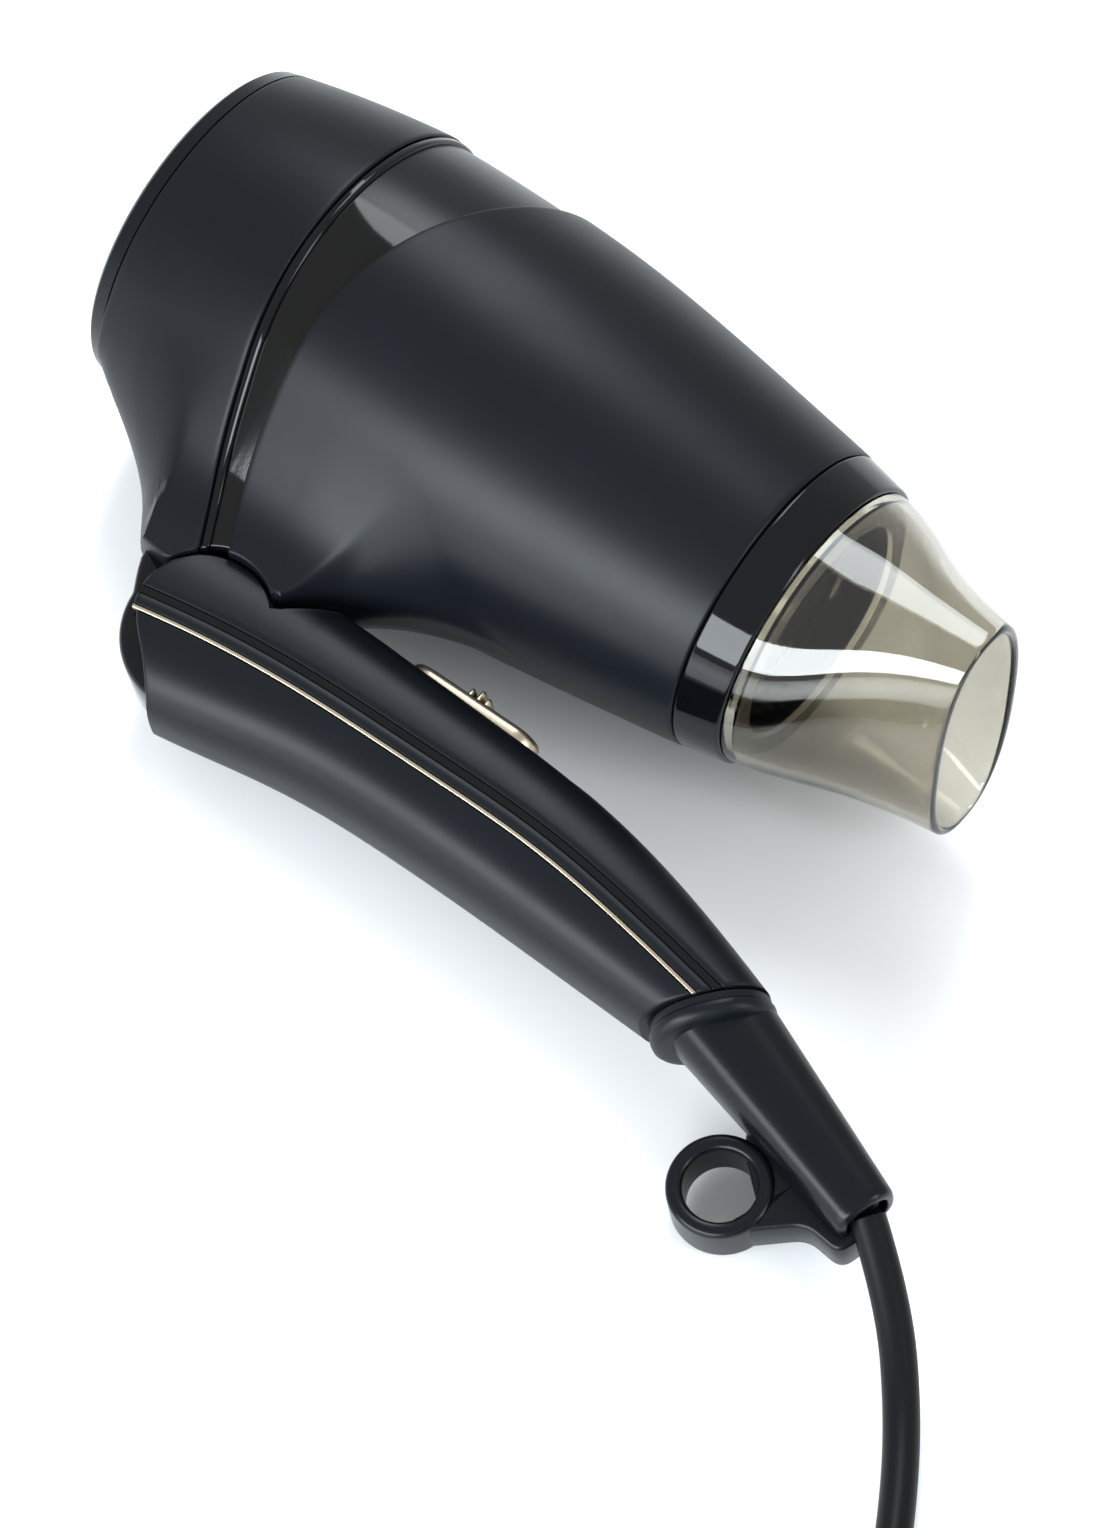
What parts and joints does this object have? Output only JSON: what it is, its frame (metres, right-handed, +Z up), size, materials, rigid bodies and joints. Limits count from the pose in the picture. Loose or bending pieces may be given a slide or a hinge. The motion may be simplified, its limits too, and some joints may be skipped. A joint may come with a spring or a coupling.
{
  "type": "folding travel hair dryer",
  "caption": "Compact hair dryer with its handle folded under the barrel, clear concentrator nozzle, slide switch, hang loop and coiled mains lead with plug.",
  "frame": {"origin": "centre of the dryer (without its lead) on the surface that it lies on", "axes": "+X along the barrel from the air intake to the nozzle, +Y from the handle to the barrel, +Z up; the dryer is rolled 15.4 degrees about its barrel, as it lies on a table"},
  "size_m": [0.3703, 0.2562, 0.0825],
  "materials": {
    "satin_shell": "satin moulded plastic, dark blue-black",
    "gloss_black": "polished black plastic",
    "smoke_clear": "clear champagne-tinted plastic",
    "champagne": "satin champagne-gold plated trim",
    "soft_black": "soft moulded black",
    "cord_black": "matt lead sheath",
    "steel": "plain steel",
    "brass_plate": "nickel-plated brass",
    "mica": "mica sheet",
    "heater_wire": "resistance wire",
    "inner_plastic": "plain moulded plastic",
    "board": "circuit board",
    "part_white": "plain pale plastic"
  },
  "bodies": {
    "handle": {"dark_inlay_left": "gloss_black", "dark_inlay_right": "gloss_black", "end_collar": "satin_shell", "friction_washers": "steel", "grip_shell": "satin_shell", "handle_screws": "steel", "hang_loop": "satin_shell", "lead_clamp": "inner_plastic", "lead_coil": "cord_black", "lead_free": "cord_black", "lead_inner": "cord_black", "lead_tail": "cord_black", "noise_capacitor": "part_white", "pivot_pin": "steel", "plug_body": "soft_black", "plug_pins": "brass_plate", "rectifier_board": "board", "spine_shell": "satin_shell", "strain_relief": "satin_shell", "switch_bezel": "gloss_black", "switch_module": "inner_plastic", "switch_screws": "steel", "trim_strip_left": "champagne", "trim_strip_right": "champagne"},
    "head": {"hinge_knuckle": "gloss_black", "rear_housing": "satin_shell", "gloss_band": "gloss_black", "barrel_shell": "satin_shell", "front_ring": "gloss_black", "intake_cover": "satin_shell", "lint_mesh": "steel", "mesh_frame": "inner_plastic", "fan_duct": "inner_plastic", "motor_can": "steel", "motor_holder": "inner_plastic", "motor_terminals": "brass_plate", "heat_shield": "mica", "mica_board_flat": "mica", "mica_boards_upright": "mica", "heater_winding": "heater_wire", "thermostat": "steel", "thermal_fuse": "part_white", "outlet_grille": "inner_plastic", "neck_screws": "steel"},
    "rotor": {"fan_impeller": "inner_plastic", "motor_shaft": "steel"},
    "nozzle": {"nozzle": "smoke_clear"},
    "slider": {"switch_slider": "champagne"}
  },
  "joints": [
    {"name": "head_fold", "type": "hinge", "parent": "handle", "child": "head", "pos_m": [-0.0579, -0.03452, 0.02292], "axis": [0, -0.2656, 0.9641], "range_deg": [0, 90]},
    {"name": "fan_spin", "type": "hinge", "parent": "head", "child": "rotor", "pos_m": [-0.0952, 0.032, 0.04124], "axis": [1, 0, 0], "continuous": true},
    {"name": "nozzle_turn", "type": "hinge", "parent": "head", "child": "nozzle", "pos_m": [0.0348, 0.032, 0.04124], "axis": [1, 0, 0], "continuous": true},
    {"name": "switch_slide", "type": "slide", "parent": "handle", "child": "slider", "axis": [1, 0, 0], "range_m": [0, 0.009]}
  ]
}
